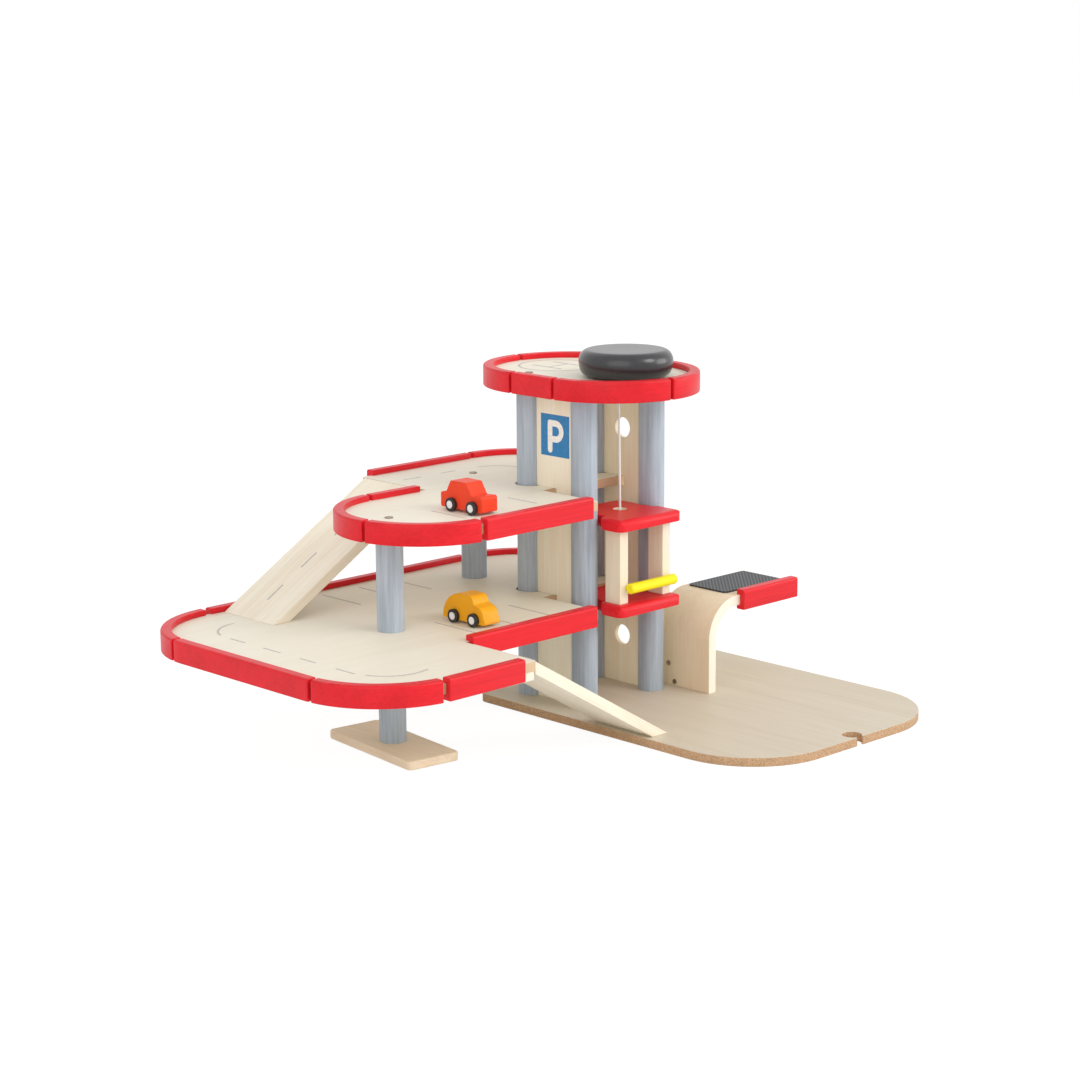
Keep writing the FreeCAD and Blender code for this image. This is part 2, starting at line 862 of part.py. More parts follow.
def build():
    parts = {"base_board": make_base()}
    for name in columns:
        parts["column_" + name] = make_column(name)
    parts["sign_panel"] = make_panel(0, [])
    parts["window_panel"] = make_panel(tower_width, [lower_window_z, upper_window_z])
    legs = {"leg_left": (left_leg_x, left_leg_y), "leg_back": (back_leg_x, back_leg_y)}
    bolts = []
    for name, (x, y) in legs.items():
        parts[name] = post(x, y, lower_top, middle_top - deck_thickness, column_radius)
        bolts.append(make_bolt_head(x, y, middle_top))
    for name in ("back_left", "back_right"):
        x, y = columns[name]
        bolts.append(make_bolt_head(x, y, roof_top))
    parts["deck_bolts"] = Part.makeCompound(bolts)
    parts["lower_deck"] = make_lower_deck()
    parts["middle_deck"] = make_middle_deck()
    parts["top_deck"] = make_top_deck()
    parts.update(make_lower_rails())
    parts.update(make_middle_rails())
    parts.update(make_roof_rails())
    parts["foot_column"] = post(left_leg_x, left_leg_y, base_top, lower_top - deck_thickness, column_radius)
    parts["foot_plate"] = make_foot_plate()
    parts["lift_floor"] = lift_plate(lower_top)
    parts["lift_roof"] = make_lift_roof()
    parts["lift_post_left"] = make_lift_post(-1)
    parts["lift_post_right"] = make_lift_post(1)
    parts["lift_barrier"] = make_barrier()
    parts["lift_cord"] = make_cord()
    parts["lift_knob"] = make_knob()
    parts["bench"] = make_bench()
    parts["bench_mat"] = make_bench_mat()
    parts["bench_rail"] = make_bench_rail()
    parts["bench_screws"] = make_bench_screws()
    parts["ramp_lower"] = make_ramp(lower_step_x, lower_ramp_y(), 1, base_top, lower_top)
    parts["ramp_upper"] = make_ramp(middle_step_x, upper_ramp_y(), -1, lower_top, middle_top)
    parts["ledge_lower"] = make_ledge(lower_step_x, lower_ramp_y(), ramp_width, 1, lower_top)
    parts["ledge_upper"] = make_ledge(middle_step_x, upper_ramp_y(), ramp_width, -1, middle_top)
    parts.update(make_car(
        "red_car", saloon_outline, red_car_back_y, red_car_rear_axle_y, red_car_front_axle_y, middle_top))
    parts.update(make_car(
        "yellow_car", beetle_outline, yellow_car_back_y, yellow_car_rear_axle_y, yellow_car_front_axle_y, lower_top))
    return parts


os.makedirs("parts", exist_ok=True)
for node, shape in build().items():
    shape.exportStep("parts/" + node + ".step")
    print(node, shape.isValid(), len(shape.Solids))
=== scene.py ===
import math

import bmesh
import bpy
from mathutils import Matrix, Vector


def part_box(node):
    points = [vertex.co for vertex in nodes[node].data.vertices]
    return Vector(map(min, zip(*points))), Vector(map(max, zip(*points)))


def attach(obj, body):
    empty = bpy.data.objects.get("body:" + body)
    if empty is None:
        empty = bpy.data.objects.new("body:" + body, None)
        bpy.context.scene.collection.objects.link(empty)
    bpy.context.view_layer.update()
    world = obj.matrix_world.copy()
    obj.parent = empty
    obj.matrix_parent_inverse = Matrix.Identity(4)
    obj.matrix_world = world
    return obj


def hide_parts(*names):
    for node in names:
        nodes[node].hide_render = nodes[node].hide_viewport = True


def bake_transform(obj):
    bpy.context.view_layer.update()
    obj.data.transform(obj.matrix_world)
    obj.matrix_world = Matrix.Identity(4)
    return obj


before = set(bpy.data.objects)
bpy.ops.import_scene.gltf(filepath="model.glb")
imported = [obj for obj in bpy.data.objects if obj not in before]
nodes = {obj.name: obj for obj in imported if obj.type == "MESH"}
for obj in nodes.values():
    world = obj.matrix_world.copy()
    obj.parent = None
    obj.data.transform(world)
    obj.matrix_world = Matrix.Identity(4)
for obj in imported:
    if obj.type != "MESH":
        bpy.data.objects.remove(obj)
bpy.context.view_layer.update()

MM = 0.001

# Levels and places read from the frame, in metres
LOWER_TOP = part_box("lower_deck")[1][2]
MIDDLE_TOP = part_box("middle_deck")[1][2]
ROOF_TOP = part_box("top_deck")[1][2]
SIGN_FACE_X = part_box("sign_panel")[0][0]
RAMP_FOOT, RAMP_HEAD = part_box("ramp_upper")
RAMP_SLOPE = math.atan2(RAMP_HEAD[2] - RAMP_FOOT[2], RAMP_HEAD[0] - RAMP_FOOT[0])
KNOB_LOW, KNOB_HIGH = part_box("lift_knob")

# The cord drops from the drum at this place, and the cabin's roof is bored round it
CORD_X = 58 * MM
CORD_Y = 0.0
CORD_RADIUS = 1.3 * MM
RING_RADIUS = 8.0 * MM

PAINT_LIFT = 0.12 * MM
EDGE_RADIUS = 1.1 * MM
FIBRE_RELIEF = 0.15 * MM

# Turns that lay the grain along an axis
ALONG_X = (0.0, 0.0, 0.0)
ALONG_Y = (0.0, 0.0, math.radians(90))
ALONG_Z = (0.0, math.radians(90), 0.0)
UP_THE_RAMP = (0.0, -RAMP_SLOPE, 0.0)
DOWN_THE_RAMP = (0.0, RAMP_SLOPE, 0.0)

# Colours, linear
MAPLE_LIGHT = (0.88, 0.84, 0.71)
MAPLE_DARK = (0.76, 0.67, 0.50)
PLY_EDGE = (0.66, 0.47, 0.29)
FLOOR_LIGHT = (0.69, 0.625, 0.49)
FLOOR_DARK = (0.58, 0.49, 0.36)
FIBREBOARD_EDGE = (0.50, 0.31, 0.17)
# The sign panel's tones are paler than the deck maple: painted light that makes up for the dim
# light on its face, which looks to -X
SIGN_PANEL_BRIGHTENED_LIGHT = (0.94, 0.88, 0.72)
SIGN_PANEL_BRIGHTENED_DARK = (0.84, 0.70, 0.48)
# The window panel's tones are paler and warmer than the maple elsewhere: in part the panel's own
# warmer wood, mostly painted light standing in for red bounce from the lift plates and for the
# shade in the shaft
WINDOW_PANEL_PAINTED_BOUNCE_LIGHT = (0.99, 0.92, 0.70)
WINDOW_PANEL_PAINTED_BOUNCE_DARK = (0.92, 0.74, 0.46)
POST_LIGHT = (0.86, 0.78, 0.62)
POST_DARK = (0.74, 0.60, 0.41)
# The bent strip's broad faces are darker and warmer than its pale maple edges: painted shade and
# warm bounce from the base and tower beside them
STRIP_PAINTED_SHADE_LIGHT = (0.84, 0.70, 0.50)
STRIP_PAINTED_SHADE_DARK = (0.72, 0.54, 0.34)
RAMP_LIGHT = (0.92, 0.86, 0.71)
RAMP_DARK = (0.80, 0.67, 0.49)
BEECH_LIGHT = (0.90, 0.74, 0.56)
BEECH_DARK = (0.74, 0.55, 0.37)
RED_STAIN = (0.78, 0.010, 0.020)
RED_STAIN_DARK = (0.56, 0.004, 0.010)
RED_WORN = (0.90, 0.16, 0.13)
GREY_STAIN = (0.47, 0.54, 0.61)
GREY_STAIN_DARK = (0.25, 0.29, 0.34)
GREY_WORN = (0.60, 0.64, 0.68)
YELLOW_PAINT = (0.90, 0.80, 0.012)
YELLOW_PAINT_DARK = (0.84, 0.72, 0.01)
YELLOW_WORN = (0.93, 0.86, 0.3)
ORANGE_STAIN = (0.87, 0.065, 0.022)
ORANGE_STAIN_DARK = (0.74, 0.04, 0.012)
ORANGE_WORN = (0.9, 0.3, 0.2)
GOLDEN_STAIN = (0.90, 0.42, 0.012)
GOLDEN_STAIN_DARK = (0.78, 0.30, 0.01)
GOLDEN_WORN = (0.92, 0.6, 0.2)
KNOB_BLACK = (0.022, 0.022, 0.025)
SCREW_BRONZE = (0.34, 0.27, 0.20)
TYRE_BLACK = (0.018, 0.018, 0.019)
HUB_WHITE = (0.82, 0.82, 0.84)
MAT_DARK = (0.030, 0.032, 0.036)
MAT_RAISED = (0.30, 0.32, 0.34)
CORD_SHADE = (0.72, 0.72, 0.70)
CORD_WHITE = (0.93, 0.93, 0.91)
LINE_GREY = (0.50, 0.48, 0.45)
LINE_PALE = (0.62, 0.58, 0.52)
SIGN_BLUE = (0.012, 0.19, 0.44)
SIGN_WHITE = (0.86, 0.84, 0.78)


def toned(colour, factor, lift=0.0):
    """The colour made paler or darker."""
    return tuple(min(1.0, c * factor + lift) for c in colour)


class Wiring:
    """A node tree, with short ways to add its nodes and join them."""

    def __init__(self, tree):
        self.tree = tree

    def new(self, kind, **inputs):
        """A new node; its inputs' values are named with _ for a space."""
        node = self.tree.nodes.new(kind)
        for name, value in inputs.items():
            node.inputs[name.replace("_", " ")].default_value = value
        return node

    def link(self, a, b):
        self.tree.links.new(a, b)

    def stretched(self, vector, scale):
        node = self.new("ShaderNodeMapping", Scale=scale)
        self.link(vector, node.inputs["Vector"])
        return node.outputs["Vector"]

    def noise(self, vector, **values):
        node = self.new("ShaderNodeTexNoise", **values)
        self.link(vector, node.inputs["Vector"])
        return node.outputs["Fac"]

    def map_range(self, value, low, high, to_low=0.0, to_high=1.0):
        node = self.new("ShaderNodeMapRange", From_Min=low, From_Max=high,
                        To_Min=to_low, To_Max=to_high)
        self.link(value, node.inputs["Value"])
        return node.outputs["Result"]

    def blend_values(self, share, a, b):
        """A value between a and b, nearer to b as share grows."""
        node = self.new("ShaderNodeMix")
        node.data_type = "FLOAT"
        node.inputs["Factor"].default_value = share
        self.link(a, node.inputs["A"])
        self.link(b, node.inputs["B"])
        return node.outputs["Result"]

    def mix(self, mask, under, over):
        """over shows where mask is 1; each colour is a socket or three numbers."""
        node = self.new("ShaderNodeMix")
        node.data_type = "RGBA"
        self.link(mask, node.inputs["Factor"])
        for colour, socket in ((under, "A"), (over, "B")):
            if isinstance(colour, tuple):
                node.inputs[socket].default_value = (*colour, 1)
            else:
                self.link(colour, node.inputs[socket])
        return node.outputs["Result"]

    def combine(self, operation, a, b):
        """Two values under one operation of a Math node."""
        node = self.new("ShaderNodeMath")
        node.operation = operation
        self.link(a, node.inputs[0])
        self.link(b, node.inputs[1])
        return node.outputs["Value"]


# Shader node groups shared by several finishes

def shared_group(name, inputs, outputs):
    """A new node group: its wiring, the sockets that come in and those that go out."""
    group = bpy.data.node_groups.new(name, "ShaderNodeTree")
    for direction, sockets in (("INPUT", inputs), ("OUTPUT", outputs)):
        for title, kind in sockets.items():
            group.interface.new_socket(
                name=title, in_out=direction, socket_type="NodeSocket" + kind)
    wiring = Wiring(group)
    given = wiring.new("NodeGroupInput").outputs
    result = wiring.new("NodeGroupOutput").inputs
    return wiring, given, result


def wood_grain_group():
    """Long streaks along X of the incoming vector, with pores, pale and dark tones and fibres."""
    wiring, given, result = shared_group(
        "wood grain",
        {"Vector": "Vector", "Light": "Color", "Dark": "Color", "Streaks": "Float"},
        {"Color": "Color", "Height": "Float", "Roughness": "Float"})
    streaks = wiring.noise(wiring.stretched(given["Vector"], (3.0, 60.0, 60.0)),
                           Scale=1.0, Detail=6.0, Roughness=0.6, Distortion=0.4)
    bands = wiring.noise(wiring.stretched(given["Vector"], (1.5, 12.0, 12.0)),
                         Scale=1.0, Detail=3.0)
    pores = wiring.noise(wiring.stretched(given["Vector"], (14.0, 330.0, 330.0)),
                         Scale=1.0, Detail=4.0, Roughness=0.65)
    fibres = wiring.noise(wiring.stretched(given["Vector"], (25.0, 700.0, 700.0)),
                          Scale=1.0, Detail=2.0)
    spread = wiring.map_range(wiring.blend_values(0.45, streaks, bands), 0.42, 0.62)
    speckle = wiring.map_range(pores, 0.42, 0.66)
    figure = wiring.blend_values(0.42, spread, speckle)
    strength = wiring.combine("MULTIPLY", figure, given["Streaks"])
    wiring.link(wiring.mix(strength, given["Light"], given["Dark"]), result["Color"])
    wiring.link(fibres, result["Height"])
    wiring.link(wiring.map_range(fibres, 0.0, 1.0, 0.42, 0.58), result["Roughness"])
    return wiring.tree


def edge_wear_group():
    """A mask, 1 on edges that handling has rubbed, and a normal that rounds the edges over."""
    wiring, given, result = shared_group(
        "edge wear",
        {"Vector": "Vector", "Amount": "Float", "Radius": "Float"},
        {"Mask": "Float", "Normal": "Vector"})
    rounded = wiring.new("ShaderNodeBevel")
    rounded.samples = 6
    wiring.link(given["Radius"], rounded.inputs["Radius"])
    surface = wiring.new("ShaderNodeNewGeometry")
    facing = wiring.new("ShaderNodeVectorMath")
    facing.operation = "DOT_PRODUCT"
    wiring.link(rounded.outputs["Normal"], facing.inputs[0])
    wiring.link(surface.outputs["Normal"], facing.inputs[1])
    edge = wiring.map_range(facing.outputs["Value"], 0.99, 0.82)
    broken = wiring.map_range(
        wiring.noise(given["Vector"], Scale=90.0, Detail=4.0), 0.45, 0.65)
    rubbed = wiring.combine("MULTIPLY", edge, broken)
    wiring.link(wiring.combine("MULTIPLY", rubbed, given["Amount"]), result["Mask"])
    wiring.link(rounded.outputs["Normal"], result["Normal"])
    return wiring.tree


WOOD_GRAIN = wood_grain_group()
EDGE_WEAR = edge_wear_group()


class Finish(Wiring):
    """A material under construction: its shader, and its pattern's place on the piece."""

    def __init__(self, name, turn=ALONG_X):
        self.material = bpy.data.materials.new(name)
        self.material.use_nodes = True
        super().__init__(self.material.node_tree)
        self.shader = self.tree.nodes["Principled BSDF"]
        self.place = self.new("ShaderNodeTexCoord")
        mapping = self.new("ShaderNodeMapping", Rotation=turn)
        mapping.vector_type = "TEXTURE"
        self.link(self.place.outputs["Object"], mapping.inputs["Vector"])
        self.vector = mapping.outputs["Vector"]
        self.edges = None

    def set(self, **values):
        """The shader's plain numbers, named with _ for a space."""
        for name, value in values.items():
            self.shader.inputs[name.replace("_", " ")].default_value = value

    def feed(self, **sockets):
        """Joins sockets to the shader's inputs, named with _ for a space."""
        for name, socket in sockets.items():
            self.link(socket, self.shader.inputs[name.replace("_", " ")])

    def grain(self, light, dark, streaks):
        group = self.new("ShaderNodeGroup")
        group.node_tree = WOOD_GRAIN
        group.inputs["Light"].default_value = (*light, 1)
        group.inputs["Dark"].default_value = (*dark, 1)
        group.inputs["Streaks"].default_value = streaks
        self.link(self.vector, group.inputs["Vector"])
        return group.outputs

    def wear(self, amount):
        """The rubbed edges' mask; bump() then also rounds those edges over."""
        group = self.new("ShaderNodeGroup")
        group.node_tree = EDGE_WEAR
        group.inputs["Amount"].default_value = amount
        group.inputs["Radius"].default_value = EDGE_RADIUS
        self.link(self.place.outputs["Object"], group.inputs["Vector"])
        self.edges = group.outputs
        return self.edges["Mask"]

    def bump(self, height, strength, distance):
        node = self.new("ShaderNodeBump", Strength=strength, Distance=distance)
        self.link(height, node.inputs["Height"])
        if self.edges:
            self.link(self.edges["Normal"], node.inputs["Normal"])
        self.feed(Normal=node.outputs["Normal"])

    def side_mask(self, axis=None):
        """1 on upright faces, 0 on level ones; or, with an axis, 1 on faces that look along it."""
        split = self.new("ShaderNodeSeparateXYZ")
        self.link(self.place.outputs["Normal"], split.inputs["Vector"])
        size = self.new("ShaderNodeMath")
        size.operation = "ABSOLUTE"
        self.link(split.outputs[axis or "Z"], size.inputs[0])
        if axis:
            return self.map_range(size.outputs["Value"], 0.6, 0.8)
        return self.map_range(size.outputs["Value"], 0.75, 0.45)

    def flecks(self, colour):
        """Pressed board's short fibres, a little darker and paler than its colour."""
        speckle = self.noise(self.vector, Scale=700.0, Detail=3.0)
        share = self.map_range(speckle, 0.38, 0.62)
        return self.mix(share, toned(colour, 0.75), toned(colour, 1.25))


def plain_wood(name, light, dark, turn, streaks, edge=None, edge_axis=None):
    """Bare varnished wood: a grain on its faces and another tone on its cut edges.

    The edges are the upright faces, or those that look along edge_axis; on the bench strip this
    split also paints shade on its broad faces.
    """
    finish = Finish(name, turn)
    grain = finish.grain(light, dark, streaks)
    colour = grain["Color"]
    if edge:
        cut = finish.flecks(edge) if edge == FIBREBOARD_EDGE else edge
        colour = finish.mix(finish.side_mask(edge_axis), colour, cut)
    colour = finish.mix(finish.wear(0.25), colour, toned(light, 1.06))
    finish.feed(Base_Color=colour, Roughness=grain["Roughness"])
    finish.bump(grain["Height"], 0.12, FIBRE_RELIEF)
    finish.set(Specular_IOR_Level=0.4)
    return finish.material


def stained_wood(name, light, dark, worn, turn, roughness, streaks, sheen):
    """Wood under a coloured stain, with rubbed edges."""
    finish = Finish(name, turn)
    grain = finish.grain(light, dark, streaks)
    finish.feed(
        Base_Color=finish.mix(finish.wear(0.5), grain["Color"], worn),
        Roughness=finish.map_range(
            grain["Height"], 0.0, 1.0, roughness - 0.06, roughness + 0.06))
    finish.bump(grain["Height"], 0.15, FIBRE_RELIEF)
    finish.set(Specular_IOR_Level=sheen)
    return finish.material


def lift_roof_finish():
    """Red stain, with bare wood showing in the counterbore round the cord."""
    finish = Finish("red lift plate")
    grain = finish.grain(RED_STAIN, RED_STAIN_DARK, 0.5)
    colour = finish.mix(finish.wear(0.5), grain["Color"], RED_WORN)
    level = finish.new("ShaderNodeVectorMath")
    level.operation = "MULTIPLY"
    level.inputs[1].default_value = (1, 1, 0)
    finish.link(finish.place.outputs["Object"], level.inputs[0])
    away = finish.new("ShaderNodeVectorMath")
    away.operation = "DISTANCE"
    away.inputs[1].default_value = (CORD_X, CORD_Y, 0)
    finish.link(level.outputs["Vector"], away.inputs[0])
    bored = finish.map_range(
        away.outputs["Value"], RING_RADIUS + 0.3 * MM, RING_RADIUS + 0.1 * MM)
    finish.feed(Base_Color=finish.mix(bored, colour, MAPLE_DARK))
    finish.bump(grain["Height"], 0.15, FIBRE_RELIEF)
    finish.set(Roughness=0.30, Specular_IOR_Level=0.25)
    return finish.material


def smooth_part(name, colour, roughness, coat=0.0, metallic=0.0):
    """A smooth part of one colour, with faint unevenness and rubbed edges."""
    finish = Finish(name)
    unevenness = finish.noise(finish.vector, Scale=220.0, Detail=3.0)
    blotches = finish.map_range(unevenness, 0.35, 0.65, 0.0, 0.25)
    tone = finish.mix(blotches, colour, toned(colour, 1.25, 0.01))
    finish.feed(
        Base_Color=finish.mix(finish.wear(0.35), tone, toned(colour, 1.5, 0.04)),
        Roughness=finish.map_range(unevenness, 0.0, 1.0, roughness - 0.05, roughness + 0.05))
    finish.bump(unevenness, 0.08, 0.1 * MM)
    finish.set(Metallic=metallic, Coat_Weight=coat)
    return finish.material


def paint(name, colour, paler, roughness, scale):
    """Thin flat paint, a little worn."""
    finish = Finish(name)
    worn = finish.map_range(finish.noise(finish.vector, Scale=scale), 0.4, 0.7)
    finish.feed(Base_Color=finish.mix(worn, colour, paler))
    finish.set(Roughness=roughness)
    return finish.material


def sign_paint(name, colour):
    return paint(name, colour, toned(colour, 1.15, 0.01), 0.45, 300.0)


def rubber_mat():
    """A dark mat with rows of small raised lozenges."""
    finish = Finish("rubber mat", (0, 0, math.radians(45)))
    cells = finish.new("ShaderNodeTexVoronoi", Scale=260.0, Randomness=0.0)
    finish.link(finish.vector, cells.inputs["Vector"])
    raised = finish.map_range(cells.outputs["Distance"], 0.25, 0.42, 1.0, 0.0)
    finish.feed(Base_Color=finish.mix(raised, MAT_DARK, MAT_RAISED))
    finish.bump(raised, 0.6, 0.5 * MM)
    finish.set(Roughness=0.55)
    return finish.material


def twisted_cord():
    """White cord with slanting strands."""
    finish = Finish("twisted cord", (math.radians(35), 0, 0))
    strands = finish.new("ShaderNodeTexWave", Scale=260.0, Distortion=0.6)
    strands.bands_direction = "Z"
    finish.link(finish.vector, strands.inputs["Vector"])
    finish.feed(Base_Color=finish.mix(strands.outputs["Fac"], CORD_SHADE, CORD_WHITE))
    finish.bump(strands.outputs["Fac"], 0.5, 0.2 * MM)
    finish.set(Roughness=0.85)
    return finish.material


deck_wood = plain_wood("maple deck", MAPLE_LIGHT, MAPLE_DARK, ALONG_X, 0.35, PLY_EDGE)
floor_wood = plain_wood(
    "maple floor board", FLOOR_LIGHT, FLOOR_DARK, ALONG_Y, 0.6, FIBREBOARD_EDGE)
# Painted light: the sign panel is the decks' maple, made paler to make up for the dim light on its
# face
sign_panel_brightened_wood = plain_wood("maple panel", SIGN_PANEL_BRIGHTENED_LIGHT, SIGN_PANEL_BRIGHTENED_DARK, ALONG_Z, 0.7)
# Painted light: the window panel is paler and warmer than plain maple, standing in for red bounce
# light and for the shade in the shaft
window_panel_painted_bounce = plain_wood("warm panel", WINDOW_PANEL_PAINTED_BOUNCE_LIGHT, WINDOW_PANEL_PAINTED_BOUNCE_DARK, ALONG_Z, 0.9)
post_wood = plain_wood("maple post", POST_LIGHT, POST_DARK, ALONG_Z, 0.7)
# Painted shade: the strip's broad faces take the darker warm tones, and only the faces that look
# along Y keep pale maple
strip_wood_painted_shade = plain_wood(
    "bent maple strip", STRIP_PAINTED_SHADE_LIGHT, STRIP_PAINTED_SHADE_DARK, ALONG_Z, 0.6, MAPLE_LIGHT, "Y")
ramp_up_wood = plain_wood("maple ramp going up", RAMP_LIGHT, RAMP_DARK, UP_THE_RAMP, 0.9)
ramp_down_wood = plain_wood("maple ramp going down", RAMP_LIGHT, RAMP_DARK, DOWN_THE_RAMP, 0.9)
ledge_wood = plain_wood("maple ledge", MAPLE_LIGHT, MAPLE_DARK, ALONG_Y, 0.5)
foot_wood = plain_wood("beech foot", BEECH_LIGHT, BEECH_DARK, ALONG_Y, 0.8)
red_wood = stained_wood(
    "red stained wood", RED_STAIN, RED_STAIN_DARK, RED_WORN, ALONG_X, 0.36, 0.8, 0.3)
grey_wood = stained_wood(
    "blue grey stained dowel", GREY_STAIN, GREY_STAIN_DARK, GREY_WORN, ALONG_Z, 0.42, 0.9, 0.35)
yellow_wood = stained_wood(
    "yellow painted dowel", YELLOW_PAINT, YELLOW_PAINT_DARK, YELLOW_WORN, ALONG_X, 0.4, 0.3, 0.2)
orange_car = stained_wood(
    "orange red stained car", ORANGE_STAIN, ORANGE_STAIN_DARK, ORANGE_WORN, ALONG_Y, 0.4, 0.4, 0.2)
golden_car = stained_wood(
    "golden stained car", GOLDEN_STAIN, GOLDEN_STAIN_DARK, GOLDEN_WORN, ALONG_Y, 0.4, 0.5, 0.2)
lift_roof_wood = lift_roof_finish()
black_wood = smooth_part("black painted knob", KNOB_BLACK, 0.30, coat=0.25)
bronzed_screw = smooth_part("bronzed screw", SCREW_BRONZE, 0.35, metallic=1.0)
black_tyre = smooth_part("black tyre", TYRE_BLACK, 0.5)
white_hub = smooth_part("white hub", HUB_WHITE, 0.3, coat=0.2)
dark_mat = rubber_mat()
white_cord = twisted_cord()
line_paint = paint("road line paint", LINE_GREY, LINE_PALE, 0.6, 400.0)
blue_paint = sign_paint("sign blue", SIGN_BLUE)
white_paint = sign_paint("sign white", SIGN_WHITE)

# Each CAD node's finish, by the start of its name: the first that fits counts
NODE_FINISHES = (
    ("base_board", floor_wood),
    ("lower_deck", deck_wood),
    ("middle_deck", deck_wood),
    ("top_deck", deck_wood),
    ("deck_bolts", bronzed_screw),
    ("sign_panel", sign_panel_brightened_wood),
    ("window_panel", window_panel_painted_bounce),
    ("column_", grey_wood),
    ("leg_", grey_wood),
    ("foot_column", grey_wood),
    ("foot_plate", foot_wood),
    ("rail_", red_wood),
    ("lift_floor", red_wood),
    ("lift_roof", lift_roof_wood),
    ("lift_post", post_wood),
    ("lift_barrier", yellow_wood),
    ("lift_knob", black_wood),
    ("lift_cord", white_cord),
    ("bench_rail", red_wood),
    ("bench_mat", dark_mat),
    ("bench_screws", bronzed_screw),
    ("bench", strip_wood_painted_shade),
    ("ledge_", ledge_wood),
    ("ramp_upper", ramp_up_wood),
    ("ramp_lower", ramp_down_wood),
    ("red_car_body", orange_car),
    ("yellow_car_body", golden_car),
    ("red_car_", black_tyre),
    ("yellow_car_", black_tyre),
)

# How far sanding has rounded a wooden node's edges
ROUNDED_EDGES = (
    (("rail_", "bench_rail", "foot_plate"), 1.5 * MM),
    (("red_car_body", "yellow_car_body"), 1.2 * MM),
    (("lift_floor", "lift_roof", "lift_post", "ramp_"), 0.8 * MM),
    (("base_board", "lower_deck", "middle_deck", "top_deck", "sign_panel", "window_panel"),
     0.5 * MM),
)
BENCH_ROUNDING = 0.5 * MM


def finish_for(name):
    for start, finish in NODE_FINISHES:
        if name.startswith(start):
            return finish
    raise KeyError(name)


def edge_width(name):
    if name == "bench":
        return BENCH_ROUNDING
    for starts, width in ROUNDED_EDGES:
        if name.startswith(starts):
            return width
    return 0.0


def soften(piece, width):
    """Rounds a CAD node's sharp edges when it is shown; its own mesh stays as it is."""
    weld = piece.modifiers.new("weld", "WELD")
    weld.merge_threshold = 0.005 * MM
    flat = piece.modifiers.new("flat faces", "DECIMATE")
    flat.decimate_type = "DISSOLVE"
    flat.angle_limit = math.radians(0.5)
    rounding = piece.modifiers.new("rounding", "BEVEL")
    rounding.width = width
    rounding.segments = 3
    rounding.limit_method = "ANGLE"
    rounding.angle_limit = math.radians(40)
    rounding.harden_normals = True


for name, piece in nodes.items():
    piece.data.materials.clear()
    piece.data.materials.append(finish_for(name))
    width = edge_width(name)
    if width:
        soften(piece, width)


# New pieces

def new_piece(name, mesh_builder, material, body, ground):
    """A mesh built by bmesh operators on a local ground, riding on a body."""
    bm = bmesh.new()
    mesh_builder(bm)
    bmesh.ops.transform(bm, matrix=ground, verts=bm.verts)
    bmesh.ops.recalc_face_normals(bm, faces=bm.faces)
    mesh = bpy.data.meshes.new(name)
    bm.to_mesh(mesh)
    bm.free()
    piece = bpy.data.objects.new(name, mesh)
    bpy.context.scene.collection.objects.link(piece)
    mesh.materials.append(material)
    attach(piece, body)
    return piece


def bar(bm, start, end, width):
    """A thin strip of paint from start to end, in millimetres, lying on the local ground."""
    a = Vector((*start, 0)) * MM
    b = Vector((*end, 0)) * MM
    along = b - a
    middle = (a + b) / 2
    turn = Matrix.Rotation(math.atan2(along.y, along.x), 4, "Z")
    size = Matrix.Diagonal((along.length, width * MM, PAINT_LIFT, 1))
    place = Matrix.Translation((middle.x, middle.y, PAINT_LIFT / 2))
    bmesh.ops.create_cube(bm, size=1, matrix=place @ turn @ size)


def arc(bm, centre, radius, start_angle, end_angle, width, steps=24):
    """A thin curved strip of paint round a centre, angles in degrees from local +X."""
    turn = math.radians(start_angle)
    cx, cy = centre[0] * MM, centre[1] * MM
    ring = []
    for reach in ((radius - width / 2) * MM, (radius + width / 2) * MM):
        x = cx + reach * math.cos(turn)
        y = cy + reach * math.sin(turn)
        ring.append(bm.verts.new((x, y, PAINT_LIFT)))
    edge = bm.edges.new(ring)
    bmesh.ops.spin(bm, geom=[edge] + ring, cent=(cx, cy, 0), axis=(0, 0, 1),
                   angle=math.radians(end_angle - start_angle), steps=steps, use_merge=False)
    bmesh.ops.remove_doubles(bm, verts=bm.verts, dist=1e-6)


def disc(bm, radius, thickness, sides=48):
    """A flat round plate lying on the middle of the local ground, in millimetres."""
    place = Matrix.Translation((0, 0, thickness * MM / 2))
    bmesh.ops.create_cone(bm, cap_ends=True, segments=sides, radius1=radius * MM,
                          radius2=radius * MM, depth=thickness * MM, matrix=place)


def facing_left(x, y, z):
    """A local ground on an upright face that looks to -X, local X towards -Y and local Y up."""
    axes = Matrix(((0, 0, -1), (-1, 0, 0), (0, 1, 0))).to_4x4()
    return Matrix.Translation((x, y, z)) @ axes


def facing_right(x, y, z):
    """A local ground on an upright face that looks to +X, local X towards +Y and local Y up."""
    axes = Matrix(((0, 0, 1), (1, 0, 0), (0, 1, 0))).to_4x4()
    return Matrix.Translation((x, y, z)) @ axes


def on_level(z):
    return Matrix.Translation((0, 0, z))


# Road lines, in millimetres: straight ones as fixed place, start, end; curved ones as arcs

